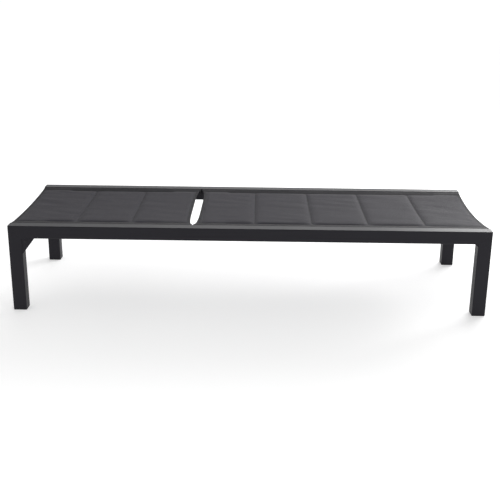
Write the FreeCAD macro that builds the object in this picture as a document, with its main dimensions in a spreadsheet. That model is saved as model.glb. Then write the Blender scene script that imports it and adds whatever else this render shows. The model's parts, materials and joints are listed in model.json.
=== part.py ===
"""A reclining sun lounger with a padded sling back and a padded sling seat, as a parametric document.

The origin is on the floor under the middle of the lounger. +X points to the foot end, +Z is up, and
right and left are those of somebody who lies on it face up, so the right side is at -Y.
The outer frame is a pair of side rails mitred to four legs. The seat's two tubes are bolted inside the
rails. The back's two tubes turn on pivot bolts, and a prop under the back drops into notched racks.
"""

import FreeCAD, Part
import math
import os
import re
import Sketcher
from FreeCAD import Placement, Rotation, Vector

DOC = FreeCAD.newDocument("sun_lounger")
PARTS = {}
SIDES = (("right", -1), ("left", 1))
Y_AXIS = Vector(0, 1, 0)

SIZES = {
    "length": (1925, "whole lounger, along X"),
    "width": (640, "whole lounger, along Y"),
    "height": (360, "top of the rails above the floor"),
    "rail_width": (48, "rail and leg section, along Y"),
    "rail_height": (52, "rail section, along Z"),
    "leg_width": (54, "leg section, along X"),
    "rail_wall": (2, "wall of the rails and legs"),
    "rail_corner": (3, "outer corner radius of the rails and legs"),
    "over": (2, "how far a cutting outline runs past the piece"),
    "glide_thickness": (4, "plastic foot under each leg"),
    "glide_inset": (0.3, "foot edge inside the leg's outline"),
    "glide_play": (0.2, "foot spigot inside the leg's wall"),
    "glide_spigot": (20, "foot spigot height"),
    "glide_edge": (1, "bevel round the sole of the foot"),
    "gusset_run": (50, "head end corner plate, along X"),
    "gusset_drop": (66, "head end corner plate, along Z"),
    "brace_run": (12, "foot end corner plate, along X and Z"),
    "plate_thickness": (6, "corner plates, along Y"),
    "plate_inset": (2, "corner plates behind the rail's outer face"),
    "plate_bolt_place": (14, "corner plate's bolt from the rail and the leg"),
    "plate_bolt_head": (1.8, "height of the corner plate's bolt head"),
    "plate_bolt_radius": (4.4, "corner plate's bolt"),
    "bar_width": (25, "cross bar section, along X"),
    "bar_height": (16, "cross bar section, along Z"),
    "bar_wall": (1.5, "cross bar wall"),
    "bar_bow": (24, "how far a cross bar's middle hangs below its ends"),
    "low_bar_drop": (32, "top of the frame's cross bars below the rail's top, at their ends"),
    "high_bar_drop": (6, "top of the sling frames' cross bars below the rail's top"),
    "tube_width": (20, "sling tube section, along Y"),
    "tube_height": (20, "sling tube section, along Z"),
    "tube_wall": (1.5, "sling tube wall"),
    "tube_corner": (2, "sling tube corner radius"),
    "tube_gap": (3, "between a sling tube and its rail"),
    "tube_drop": (4, "top of the sling tubes below the rail's top"),
    "tube_end": (957, "far ends of the sling tubes, plugs included"),
    "tube_throat": (4, "half the gap between the back's and the seat's tubes"),
    "plug_flange": (2.5, "tube plug flange"),
    "plug_length": (14.5, "tube plug, flange and spigot"),
    "plug_play": (0.3, "plug spigot inside the tube's wall"),
    "welt_groove": (2.4, "radius of the groove that holds the sling's welt"),
    "welt_rod": (2.2, "radius of the welt"),
    "welt_inset": (3.6, "groove centre from the tube's outer face"),
    "welt_drop": (4.8, "groove centre below the tube's top"),
    "welt_mouth": (1.6, "height of the groove's mouth"),
    "welt_tongue": (1, "thickness of the cloth that leaves the groove"),
    "boss_width": (7.8, "solid corner of the tube round the groove, along Y"),
    "boss_height": (8.6, "solid corner of the tube round the groove, along Z"),
    "slot_place": (-230, "middle of the slot between the back and the seat"),
    "slot_half": (17, "half the slot's width in the middle"),
    "throat_half": (2, "half the slot's width beside the rails"),
    "slot_side": (245, "where the slot narrows, along Y"),
    "sling_end": (960, "far hems of the slings"),
    "sling_top": (1.3, "sling's edge below the rail's top"),
    "sling_hem": (2.5, "sling thickness over its tubes"),
    "sling_pad": (8, "sling thickness in the middle"),
    "sling_flat": (247, "where the sling leaves its tube, along Y"),
    "sling_wrap": (1, "cloth on the tube's outer side"),
    "wrap_play": (0.2, "between that cloth and the tube"),
    "back_sag": (11, "back sling's middle below its edges"),
    "seat_sag": (14, "seat sling's middle below its edges"),
    "hinge_place": (-285, "back's hinge axis, along X"),
    "hinge_rise": (7, "hinge and prop axes above the tube's underside"),
    "pivot_radius": (4, "shoulder of the pivot bolts"),
    "pivot_play": (0.06, "running clearance of the pivots"),
    "bush_wall": (1, "hinge bush wall"),
    "bush_flange": (0.7, "hinge bush flange"),
    "washer_radius": (7, "hinge and prop washers"),
    "washer_play": (0.3, "side play at the pivots"),
    "head_radius": (6.5, "pivot bolt heads"),
    "head_depth": (4, "pivot bolt heads"),
    "thread_radius": (3, "bolts where they enter the rail"),
    "thread_play": (0.05, "bolts in their threaded inserts"),
    "thread_reach": (8, "bolts past the rail's inner face"),
    "insert_radius": (4.5, "threaded inserts in the rails"),
    "socket_radius": (2.6, "hexagon sockets, corner to corner"),
    "socket_depth": (2, "hexagon sockets"),
    "rim_bevel": (0.8, "bevel on a bolt head's rim"),
    "seat_bolt_rise": (8, "seat bolts above the tube's underside"),
    "seat_bolt_head": (5, "seat bolt heads"),
    "spacer_radius": (6.2, "spacers between the seat's tubes and the rails"),
    "prop_reach": (300, "from the hinge to the prop, and along the prop"),
    "prop_height": (16, "prop arms, across their length"),
    "prop_thickness": (5, "prop arms, along Y"),
    "prop_gap": (1, "between a prop arm and its tube"),
    "prop_bar_radius": (4.5, "cross rod of the prop"),
    "prop_bar_end": (2, "cross rod's end from the rail"),
    "roller_radius": (6, "sleeves on the cross rod's ends"),
    "roller_length": (12, "sleeves on the cross rod's ends"),
    "roller_clear": (4, "sleeves below the back's tubes when it lies flat"),
    "rack_thickness": (8, "notched racks, along Y"),
    "rack_height": (14, "notched racks, along Z"),
    "rack_clear": (1, "racks below the sleeves' path"),
    "rack_far": (621, "rack's head end from the hinge axis"),
    "rack_near": (180, "rack's near end from the hinge axis"),
    "notch_radius": (6.5, "notches of the racks"),
    "rack_bolt_radius": (2, "bolts that hold the racks"),
    "rack_bolt_drop": (4.7, "those bolts below the rack's top edge"),
    "rack_insert_wall": (1, "wall of the racks' threaded inserts"),
    "rack_head_radius": (3.6, "heads of those bolts"),
    "rack_head_depth": (2.2, "heads of those bolts"),
    "buffer_radius": (8, "rubber buffers that the back lies on"),
    "buffer_place": (120, "buffers from the middle, along Y"),
    "buffer_sink": (1, "buffers pressed into the cross bar"),
    "buffer_clear": (1.1, "buffers below the back's bar, at their middles"),
}
SEAT_BARS = {"upper": -175, "middle": 200, "lower": 570, "foot": 944.5}
BACK_BARS = {"head": -944.5, "middle": -540, "lower": -310}
SEAT_BOLTS = (-130, 250, 620, 905)
NOTCH_ANGLES = (24, 36, 48, 58, 67)
RACK_BOLTS = (570, 432, 261)

RAIL_INNER = "(width / 2 - rail_width)"
RAIL_MIDDLE = "(width / 2 - rail_width / 2)"
TUBE_OUTER = "(width / 2 - rail_width - tube_gap)"
TUBE_INNER = "(width / 2 - rail_width - tube_gap - tube_width)"
TUBE_MIDDLE = "(width / 2 - rail_width - tube_gap - tube_width / 2)"
TUBE_TOP = "(height - tube_drop)"
TUBE_BASE = "(height - tube_drop - tube_height)"
TUBE_CENTRE = "(height - tube_drop - tube_height / 2)"
PIVOT_Z = "(height - tube_drop - tube_height + hinge_rise)"
PROP_X = "(hinge_place - prop_reach)"
ARM_OUTER = "(width / 2 - rail_width - tube_gap - tube_width - prop_gap)"
ROLLER_OUTER = "(width / 2 - rail_width - prop_bar_end)"
TRACK_DROP = "(hinge_rise + roller_clear + roller_radius)"


def fill_sheet():
    """Writes the driving dimensions to the document's sheet, one alias to a row."""
    sheet = DOC.addObject("Spreadsheet::Sheet", "Sizes")
    for row, (alias, (number, note)) in enumerate(SIZES.items(), start=1):
        sheet.set(f"A{row}", alias)
        sheet.set(f"B{row}", str(number))
        sheet.set(f"C{row}", note)
        sheet.setAlias(f"B{row}", alias)
    DOC.recompute()
    return sheet


def bound(text):
    """The text of a size as an expression, with each driving dimension read from the sheet."""
    words = re.compile(r"[a-z_]+")
    return words.sub(lambda m: f"Sizes.{m[0]}" if m[0] in SIZES else m[0], str(text))


def amount(text):
    """The number that the text of a size comes to."""
    return float(SHEET.evalExpression(bound(text)))


def bind(thing, **sizes):
    """Binds the properties of an object to texts of sizes."""
    for name, text in sizes.items():
        thing.setExpression(name, bound(text))
    return thing


def place(thing, x=0, y=0, z=0):
    """Binds where an object's own origin lies."""
    for axis, text in (("x", x), ("y", y), ("z", z)):
        thing.setExpression(f"Placement.Base.{axis}", bound(text))
    return thing


def keep(thing, name):
    """Counts an object as a finished sub-part, which is written under its name."""
    thing.Label = name
    PARTS[name] = thing
    return thing


def new_body(name):
    """An empty body that will be the sub-part of that name."""
    return keep(DOC.addObject("PartDesign::Body", name), name)


def new_sketch(body, role, name):
    """A sketch on one of the body's own origin planes."""
    sketch = body.newObject("Sketcher::SketchObject", name)
    plane = next(o for o in body.Origin.OriginFeatures if o.Role == role)
    sketch.AttachmentSupport = [(plane, "")]
    sketch.MapMode = "FlatFace"
    return sketch


def pin_point(sketch, edge, end, corner):
    """Holds one end of an edge where two texts of sizes say."""
    for kind, text in zip(("DistanceX", "DistanceY"), corner):
        rule = Sketcher.Constraint(kind, -1, 1, edge, end, amount(text))
        index = sketch.addConstraint(rule)
        sketch.setExpression(f"Constraints[{index}]", bound(text))


def add_arc(sketch, start, end, radius, side):
    """The short arc between two points that bulges to the left (1) or right (-1), and its ends' numbers."""
    first, last = (start, end) if side < 0 else (end, start)
    chord = last - first
    normal = Vector(-chord.y, chord.x, 0).normalize()
    centre = (first + last) * 0.5 + normal * math.sqrt(radius**2 - chord.Length**2 / 4)
    angles = [math.atan2(p.y - centre.y, p.x - centre.x) for p in (first, last)]
    if angles[1] < angles[0]:
        angles[1] += 2 * math.pi
    arc = Part.ArcOfCircle(Part.Circle(centre, Vector(0, 0, 1), radius), *angles)
    return sketch.addGeometry(arc, False), (1, 2) if side < 0 else (2, 1)


def add_outline(sketch, corners, arcs=None):
    """A closed outline through corners, each a pair of texts. arcs gives an edge's radius and side."""
    arcs = arcs or {}
    points = [Vector(amount(x), amount(y), 0) for x, y in corners]
    edges = []
    for i, start in enumerate(points):
        end = points[(i + 1) % len(points)]
        if i in arcs:
            edges.append(add_arc(sketch, start, end, amount(arcs[i][0]), arcs[i][1]))
        else:
            edges.append((sketch.addGeometry(Part.LineSegment(start, end), False), (1, 2)))
    for i, (edge, ends) in enumerate(edges):
        after, after_ends = edges[(i + 1) % len(edges)]
        sketch.addConstraint(Sketcher.Constraint("Coincident", edge, ends[1], after, after_ends[0]))
        pin_point(sketch, edge, ends[0], corners[i])
        if i in arcs:
            rule = Sketcher.Constraint("Radius", edge, amount(arcs[i][0]))
            sketch.setExpression(f"Constraints[{sketch.addConstraint(rule)}]", bound(arcs[i][0]))
    return sketch


def add_circle(sketch, centre, radius):
    """A whole circle about a centre, given as a pair of texts."""
    middle = Vector(amount(centre[0]), amount(centre[1]), 0)
    edge = sketch.addGeometry(Part.Circle(middle, Vector(0, 0, 1), amount(radius)), False)
    rule = Sketcher.Constraint("Radius", edge, amount(radius))
    sketch.setExpression(f"Constraints[{sketch.addConstraint(rule)}]", bound(radius))
    pin_point(sketch, edge, 3, centre)
    return sketch


def rectangle(width, height, x="0", y="0"):
    """The corners of a rectangle about a centre, as texts."""
    signs = ((-1, -1), (1, -1), (1, 1), (-1, 1))
    return [(f"{x} + ({width}) / 2 * {i}", f"{y} + ({height}) / 2 * {j}") for i, j in signs]


def pad(body, sketch, length, both_ways=True):
    """Extrudes a sketch, evenly to both sides of its plane unless told otherwise."""
    feature = body.newObject("PartDesign::Pad", f"{body.Name}_pad")
    feature.Profile = sketch
    feature.SideType = "Symmetric" if both_ways else "One side"
    bind(feature, Length=length)
    sketch.Visibility = False
    DOC.recompute()
    return feature


def pocket(body, sketch, length):
    """Cuts a sketch out of the body, evenly to both sides of its plane, and proves that it cut."""
    before = body.Shape.Volume
    feature = body.newObject("PartDesign::Pocket", f"{body.Name}_pocket")
    feature.Profile = sketch
    feature.SideType = "Symmetric"
    bind(feature, Length=length)
    sketch.Visibility = False
    DOC.recompute()
    if body.Shape.Volume > before - 1e-3:
        raise RuntimeError(f"a pocket of {body.Label} cuts nothing")
    return feature


def round_edges(body, feature, radius, axis, kind="Fillet", wanted=None):
    """Fillets or chamfers a feature's straight edges along an axis, or those that wanted() picks."""
    names = []
    for i, edge in enumerate(feature.Shape.Edges, start=1):
        along = wanted(edge) if wanted else abs(edge.tangentAt(edge.FirstParameter).dot(axis)) > 0.999
        if along:
            names.append(f"Edge{i}")
    dressed = body.newObject(f"PartDesign::{kind}", f"{body.Name}_{kind.lower()}")
    dressed.Base = (feature, names)
    bind(dressed, **{"Radius" if kind == "Fillet" else "Size": radius})
    DOC.recompute()
    return dressed


def bow_radius(half_span, bow):
    """The radius, as text, of an arc over twice that span with that height."""
    return f"(({half_span}) ^ 2 + ({bow}) ^ 2) / (2 * ({bow}))"


# ---- the outer frame ----


def side_rail(side, sign):
    """A rectangular tube the length of the lounger, mitred at both ends to its legs."""
    rail = new_body(f"{side}_rail")
    outline = add_outline(new_sketch(rail, "YZ_Plane", "section"), rectangle("rail_width", "rail_height"))
    round_edges(rail, pad(rail, outline, "length"), "rail_corner", Vector(1, 0, 0))
    hollow = rectangle("rail_width - 2 * rail_wall", "rail_height - 2 * rail_wall")
    pocket(rail, add_outline(new_sketch(rail, "YZ_Plane", "hollow"), hollow), "length + over")
    for end in (-1, 1):
        inner = f"{end} * (length / 2 - leg_width - over * leg_width / rail_height)"
        outer = f"{end} * (length / 2 + over * leg_width / rail_height)"
        low, high = "-rail_height / 2 - over", "rail_height / 2 + over"
        mitre = new_sketch(rail, "XZ_Plane", "mitre")
        add_outline(mitre, [(inner, low), (outer, low), (outer, high)])
        pocket(rail, mitre, "rail_width + over")
    drill_rail(rail, sign)
    place(rail, 0, f"{sign} * {RAIL_MIDDLE}", "height - rail_height / 2")


def rail_holes():
    """Where the rails hold threaded inserts: X, the height over the floor, and the insert's radius."""
    holes = [("hinge_place", PIVOT_Z, "insert_radius")]
    holes += [(x, f"{TUBE_BASE} + seat_bolt_rise", "insert_radius") for x in SEAT_BOLTS]
    holes += [(*rack_bolt_place(d), "rack_bolt_radius + rack_insert_wall") for d in RACK_BOLTS]
    return holes


def drill_rail(rail, sign):
    """Round holes through the rail's inner wall only, for the threaded inserts."""
    drill = new_sketch(rail, "XZ_Plane", "insert_holes")
    drill.setExpression("AttachmentOffset.Base.z", bound(f"{sign} * (rail_width - rail_wall) / 2"))
    for x, z, radius in rail_holes():
        add_circle(drill, (x, f"{z} - height + rail_height / 2"), radius)
    pocket(rail, drill, "rail_wall + over")


def leg(end_name, end, side, sign):
    """A rectangular tube from the foot's top to the rail's top, with the mitre's other half."""
    post = new_body(f"{end_name}_leg_{side}")
    outline = add_outline(new_sketch(post, "XY_Plane", "section"), rectangle("leg_width", "rail_width"))
    standing = pad(post, outline, "height - glide_thickness", both_ways=False)
    round_edges(post, standing, "rail_corner", Vector(0, 0, 1))
    hollow = rectangle("leg_width - 2 * rail_wall", "rail_width - 2 * rail_wall")
    pocket(post, add_outline(new_sketch(post, "XY_Plane", "hollow"), hollow), "2 * height")
    inner = f"{-end} * (leg_width / 2 + over * leg_width / rail_height)"
    outer = f"{end} * (leg_width / 2 + over * leg_width / rail_height)"
    low = "height - glide_thickness - rail_height - over"
    high = "height - glide_thickness + over"
    mitre = new_sketch(post, "XZ_Plane", "mitre")
    add_outline(mitre, [(inner, low), (inner, high), (outer, high)])
    pocket(post, mitre, "rail_width + over")
    place(post, f"{end} * (length - leg_width) / 2", f"{sign} * {RAIL_MIDDLE}", "glide_thickness")


def glide(end_name, end, side, sign):
    """A plastic foot: a sole under the leg and a spigot inside it."""
    foot = new_body(f"{end_name}_glide_{side}")
    sole = rectangle("leg_width - 2 * glide_inset", "rail_width - 2 * glide_inset")
    sole_pad = pad(foot, add_outline(new_sketch(foot, "XY_Plane", "sole"), sole), "glide_thickness", False)
    rounded = round_edges(foot, sole_pad, "rail_corner", Vector(0, 0, 1))
    round_edges(foot, rounded, "glide_edge", None, "Chamfer", lambda e: e.BoundBox.ZMax < 0.01)
    inside = "2 * rail_wall - 2 * glide_play"
    spigot = rectangle(f"leg_width - {inside}", f"rail_width - {inside}")
    pad(foot, add_outline(new_sketch(foot, "XY_Plane", "spigot"), spigot), "glide_spigot", False)
    place(foot, f"{end} * (length - leg_width) / 2", f"{sign} * {RAIL_MIDDLE}", 0)


def corner_plate(name, end, sign, run, drop):
    """A three-cornered plate welded in the inside corner of a rail and a leg."""
    plate = new_body(name)
    corners = [("0", "0"), (f"{-end} * {run}", "0"), ("0", f"-({drop})")]
    pad(plate, add_outline(new_sketch(plate, "XZ_Plane", "corner"), corners), "plate_thickness")
    depth = f"{sign} * (width / 2 - plate_inset - plate_thickness / 2)"
    place(plate, f"{end} * (length / 2 - leg_width)", depth, "height - rail_height")
    return plate


def bowed_bar(name, half_span, x, top):
    """A flat rectangular tube across the lounger, whose middle hangs below its ends."""
    bar = new_body(name)
    radius = bow_radius(half_span, "bar_bow")
    for wall, width in (("0", "bar_width"), ("bar_wall", "bar_width - 2 * bar_wall")):
        low, high = f"-bar_height + {wall}", f"-({wall})"
        corners = [(f"-{half_span}", low), (half_span, low), (half_span, high), (f"-{half_span}", high)]
        arcs = {0: (radius, -1), 2: (radius, 1)}
        section = add_outline(new_sketch(bar, "YZ_Plane", "bow"), corners, arcs)
        pad(bar, section, width) if wall == "0" else pocket(bar, section, width)
    place(bar, x, 0, top)


# ---- the tubes that carry the slings ----


def sling_tube(name, sign, start, end):
    """A square tube with a round groove along its outer side that holds the sling's welt."""
    tube = new_body(name)
    run = f"({end}) - ({start})"
    outline = add_outline(new_sketch(tube, "YZ_Plane", "section"), rectangle("tube_width", "tube_height"))
    round_edges(tube, pad(tube, outline, run), "tube_corner", Vector(1, 0, 0))
    wide, tall = "(tube_width / 2 - tube_wall)", "(tube_height / 2 - tube_wall)"
    boss_y, boss_z = "(tube_width / 2 - boss_width)", "(tube_height / 2 - boss_height)"
    steps = [(f"-{wide}", f"-{tall}"), (wide, f"-{tall}"), (wide, boss_z)]
    steps += [(boss_y, boss_z), (boss_y, tall), (f"-{wide}", tall)]
    hollow = [(f"{sign} * {y}", z) for y, z in steps]
    pocket(tube, add_outline(new_sketch(tube, "YZ_Plane", "hollow"), hollow), f"{run} + over")
    groove_y, groove_z = groove_centre(sign)
    groove = add_circle(new_sketch(tube, "YZ_Plane", "groove"), (groove_y, groove_z), "welt_groove")
    pocket(tube, groove, f"{run} + over")
    mouth = rectangle("2 * welt_inset", "welt_mouth", groove_y, groove_z)
    pocket(tube, add_outline(new_sketch(tube, "YZ_Plane", "mouth"), mouth), f"{run} + over")
    place(tube, f"(({start}) + ({end})) / 2", f"{sign} * {TUBE_MIDDLE}", TUBE_CENTRE)
    return tube


def groove_centre(sign):
    """The welt groove's centre in a tube's own frame."""
    return f"{sign} * (tube_width / 2 - welt_inset)", "(tube_height / 2 - welt_drop)"


def drill_tube(tube, start, end, holes):
    """Round holes through both side walls of a tube, each an X and a height over the floor."""
    drill = new_sketch(tube, "XZ_Plane", "holes")
    for x, z, radius in holes:
        add_circle(drill, (f"({x}) - (({start}) + ({end})) / 2", f"{z} - {TUBE_CENTRE}"), radius)
    pocket(tube, drill, "tube_width + over")


def tube_plugs(name, start, end):
    """Four plastic plugs that close the ends of a pair of tubes, as one group."""
    spigot_tall = "(tube_height - tube_wall - boss_height - 2 * plug_play)"
    plugs = []
    for side, sign in SIDES:
        for x, outward in ((start, -1), (end, 1)):
            centre = f"({x}) + {outward} * plug_flange / 2"
            flange = DOC.addObject("Part::Box", f"{name}_flange")
            bind(flange, Length="plug_flange", Width="tube_width", Height="tube_height")
            corner_y = f"{sign} * {TUBE_MIDDLE} - tube_width / 2"
            place(flange, f"{centre} - plug_flange / 2", corner_y, TUBE_BASE)
            spigot = DOC.addObject("Part::Box", f"{name}_spigot")
            wide = "(tube_width - 2 * tube_wall - 2 * plug_play)"
            bind(spigot, Length="plug_length", Width=wide, Height=spigot_tall)
            spigot_x = f"({x}) - plug_length + plug_flange" if outward > 0 else f"({x}) - plug_flange"
            spigot_z = f"{TUBE_BASE} + tube_wall + plug_play"
            place(spigot, spigot_x, f"{sign} * {TUBE_MIDDLE} - {wide} / 2", spigot_z)
            plugs.append(fused(f"{name}_{side}", [round_box(flange, "tube_corner"), spigot]))
    group(name, plugs)


def round_box(box, radius):
    """Rounds a Part box's edges along X."""
    DOC.recompute()
    dressed = DOC.addObject("Part::Fillet", f"{box.Name}_round")
    dressed.Base = box
    size = amount(radius)
    long = [i for i, e in enumerate(box.Shape.Edges, 1) if abs(e.tangentAt(0).x) > 0.999]
    dressed.Edges = [(i, size, size) for i in long]
    return dressed


def welt(name, sign, start, end):
    """The rod in a tube's groove, with the tongue of cloth that leaves the groove's mouth."""
    rod = new_body(name)
    run = f"({end}) - ({start})"
    centre = groove_centre(sign)
    pad(rod, add_circle(new_sketch(rod, "YZ_Plane", "rod"), centre, "welt_rod"), run)
    reach = "(welt_inset + wrap_play + sling_wrap)"
    tongue = rectangle(reach, "welt_tongue", f"{centre[0]} + {sign} * {reach} / 2", centre[1])
    pad(rod, add_outline(new_sketch(rod, "YZ_Plane", "tongue"), tongue), run)
    place(rod, f"(({start}) + ({end})) / 2", f"{sign} * {TUBE_MIDDLE}", TUBE_CENTRE)


def sling(name, start, end, sag, slot_end):
    """The padded cloth: flat over its tubes, down their outer sides, and sagging between them."""
    cloth = new_body(name)
    outer = f"({TUBE_OUTER} + wrap_play + sling_wrap)"
    wrap_in = f"({TUBE_OUTER} + wrap_play)"
    wrap_low = f"({TUBE_TOP} - welt_drop + welt_tongue / 2)"
    top, base = "(height - sling_top)", "(height - sling_top - sling_hem)"
    right = [(f"-{outer}", wrap_low), (f"-{outer}", top), ("-sling_flat", top)]
    left = [("sling_flat", top), (outer, top), (outer, wrap_low), (wrap_in, wrap_low), (wrap_in, base)]
    under = [("sling_flat", base), ("-sling_flat", base), (f"-{wrap_in}", base), (f"-{wrap_in}", wrap_low)]
    lower_sag = f"({sag} + sling_pad - sling_hem)"
    arcs = {2: (bow_radius("sling_flat", sag), -1), 8: (bow_radius("sling_flat", lower_sag), 1)}
    section = add_outline(new_sketch(cloth, "YZ_Plane", "section"), right + left + under, arcs)
    pad(cloth, section, f"({end}) - ({start})")
    half = f"(({end}) - ({start})) / 2"
    deep = "(slot_half - throat_half)"
    rim = f"{slot_end} * ({half} + over)"
    floor = f"{slot_end} * ({half} - {deep})"
    knee = f"(slot_side - {deep})"
    scoop = new_sketch(cloth, "XY_Plane", "scoop")
    corners = [(rim, "-slot_side"), (f"{slot_end} * {half}", "-slot_side"), (floor, f"-{knee}")]
    corners += [(floor, knee), (f"{slot_end} * {half}", "slot_side"), (rim, "slot_side")]
    add_outline(scoop, corners, {1: (deep, slot_end), 3: (deep, slot_end)})
    pocket(cloth, scoop, "4 * height")
    place(cloth, f"(({start}) + ({end})) / 2", 0, 0)


# ---- bolts, washers and other turned pieces ----


def cylinder(name, radius, start, length):
    """A round bar along its own Z, from start."""
    bar = DOC.addObject("Part::Cylinder", name)
    bind(bar, Radius=radius, Height=length)
    bar.setExpression("Placement.Base.z", bound(start))
    return bar


def fused(name, shapes):
    """Several shapes as one solid."""
    whole = DOC.addObject("Part::MultiFuse", name)
    whole.Shapes = shapes
    whole.Refine = True
    return whole


def cut(name, base, tool):
    """One shape less another."""
    left = DOC.addObject("Part::Cut", name)
    left.Base = base
    left.Tool = tool
    return left


def group(name, solids):
    """Like pieces as one sub-part of separate solids."""
    together = DOC.addObject("Part::Compound", name)
    together.Links = solids
    return keep(together, name)


def turn_outward(thing, sign, x, y, z):
    """Lays a turned piece across the lounger, its own +Z pointing to that side."""
    thing.Placement = Placement(Vector(), Rotation(Vector(1, 0, 0), -90 * sign))
    return place(thing, x, f"{sign} * ({y})", z)


def bolt(name, sign, x, z, head_y, head, stages):
    """A socket screw that points outward: its head, then stages, each a radius and a length."""
    head_radius, head_depth = head
    rim = cylinder(f"{name}_head", head_radius, "0", head_depth)
    DOC.recompute()
    bevelled = DOC.addObject("Part::Chamfer", f"{name}_rim")
    bevelled.Base = rim
    lowest = [i for i, e in enumerate(rim.Shape.Edges, 1) if e.BoundBox.ZMax < 0.01]
    size = amount("rim_bevel")
    bevelled.Edges = [(i, size, size) for i in lowest]
    pieces, reached = [bevelled], head_depth
    for radius, length in stages:
        pieces.append(cylinder(f"{name}_shank", radius, reached, length))
        reached = f"{reached} + {length}"
    key = DOC.addObject("Part::Prism", f"{name}_key")
    key.Polygon = 6
    bind(key, Circumradius="socket_radius", Height="socket_depth")
    socketed = cut(name, fused(f"{name}_solid", pieces), key)
    return turn_outward(socketed, sign, x, head_y, z)


def ring(name, sign, x, z, start_y, length, outer, bore):
    """A washer, bush or sleeve that lies across the lounger."""
    body = cylinder(f"{name}_outer", outer, "0", length)
    hole = cylinder(f"{name}_bore", bore, "-over", f"{length} + 2 * over")
    return turn_outward(cut(name, body, hole), sign, x, start_y, z)


def fasten_plates():
    """Drills the head end's corner plates and fills each hole with a button-headed bolt."""
    bolts = []
    for side, sign in SIDES:
        plate = PARTS[f"head_gusset_{side}"]
        centre = ("plate_bolt_place", "-plate_bolt_place")
        hole = add_circle(new_sketch(plate, "XZ_Plane", "hole"), centre, "plate_bolt_radius")
        pocket(plate, hole, "plate_thickness + over")
        shank = cylinder("corner_bolt", "plate_bolt_radius", "0", "plate_thickness + plate_bolt_head")
        x = "-length / 2 + leg_width + plate_bolt_place"
        start = "width / 2 - plate_inset - plate_thickness"
        z = "height - rail_height - plate_bolt_place"
        bolts.append(turn_outward(shank, sign, x, start, z))
    group("gusset_bolts", bolts)


def seat_fixings():
    """The bolts, spacers and threaded inserts that hold the seat's tubes to the rails."""
    z = f"{TUBE_BASE} + seat_bolt_rise"
    bolts, spacers, inserts = [], [], []
    for _, sign in SIDES:
        for x in SEAT_BOLTS:
            shank = [("thread_radius", "tube_width + tube_gap + thread_reach")]
            head = ("head_radius", "seat_bolt_head")
            start = f"{TUBE_INNER} - seat_bolt_head"
            bolts.append(bolt("seat_bolt", sign, x, z, start, head, shank))
            bore = "thread_radius + thread_play"
            spacers.append(ring("spacer", sign, x, z, TUBE_OUTER, "tube_gap", "spacer_radius", bore))
        for x, height_text, radius in rail_holes():
            bore = "rack_bolt_radius + thread_play" if "rack" in radius else "thread_radius + thread_play"
            inserts.append(ring("insert", sign, x, height_text, RAIL_INNER, "thread_reach", radius, bore))
    group("seat_tube_bolts", bolts)
    group("seat_tube_spacers", spacers)
    group("rail_inserts", inserts)


def hinge(side, sign):
    """The back's pivot: a shoulder bolt in the rail, its washer, and the bush that turns on it."""
    start = f"{TUBE_INNER} - bush_flange - washer_play - head_depth"
    shoulder = "bush_flange + washer_play + tube_width + tube_gap"
    stages = [("pivot_radius", shoulder), ("thread_radius", "thread_reach")]
    head = ("head_radius", "head_depth")
    pin = bolt(f"hinge_bolt_{side}", sign, "hinge_place", PIVOT_Z, start, head, stages)
    keep(pin, f"hinge_bolt_{side}")
    bore = "pivot_radius + pivot_play"
    name = f"hinge_washer_{side}"
    washer_y = f"{TUBE_OUTER} + bush_flange + washer_play"
    thick = "tube_gap - bush_flange - washer_play"
    keep(ring(name, sign, "hinge_place", PIVOT_Z, washer_y, thick, "washer_radius", bore), name)
    sleeve = cylinder("bush_sleeve", "pivot_radius + bush_wall", "0", "tube_width + 2 * bush_flange")
    rim_starts = ("0", "bush_flange + tube_width")
    rims = [cylinder("bush_rim", "washer_radius", z, "bush_flange") for z in rim_starts]
    hole = cylinder("bush_bore", bore, "-over", "tube_width + 4 * over")
    bush = cut(f"hinge_bush_{side}", fused("bush_solid", [sleeve] + rims), hole)
    turn_outward(bush, sign, "hinge_place", f"{TUBE_INNER} - bush_flange", PIVOT_Z)
    keep(bush, f"hinge_bush_{side}")


# ---- the prop and its racks ----


def flat_track():
    """The angle of the rollers' path below the level, in degrees."""
    return math.degrees(math.asin(amount(f"{TRACK_DROP} / prop_reach")) / 2)


def roller_place():
    """The cross rod's X and Z with the back flat, as texts: back and prop are a triangle's equal sides."""
    tilt = f"asin({TRACK_DROP} / prop_reach) / 2"
    return f"hinge_place - 2 * prop_reach * cos({tilt}) ^ 2", f"{PIVOT_Z} - {TRACK_DROP}"


def rack_bolt_place(distance):
    """A rack bolt's X and height, at a distance from the hinge along the rollers' path."""
    tilt = f"asin({TRACK_DROP} / prop_reach) / 2"
    below = "(roller_radius + rack_clear + rack_bolt_drop)"
    x = f"hinge_place - {distance} * cos({tilt}) + {below} * sin({tilt})"
    return x, f"{PIVOT_Z} - {distance} * sin({tilt}) - {below} * cos({tilt})"


def tilt_body(body, times):
    """Turns a body about Y so that its own -X points down by so many times the path's angle."""
    body.Placement = Placement(Vector(), Rotation(Y_AXIS, -times * flat_track()))
    return body


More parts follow.
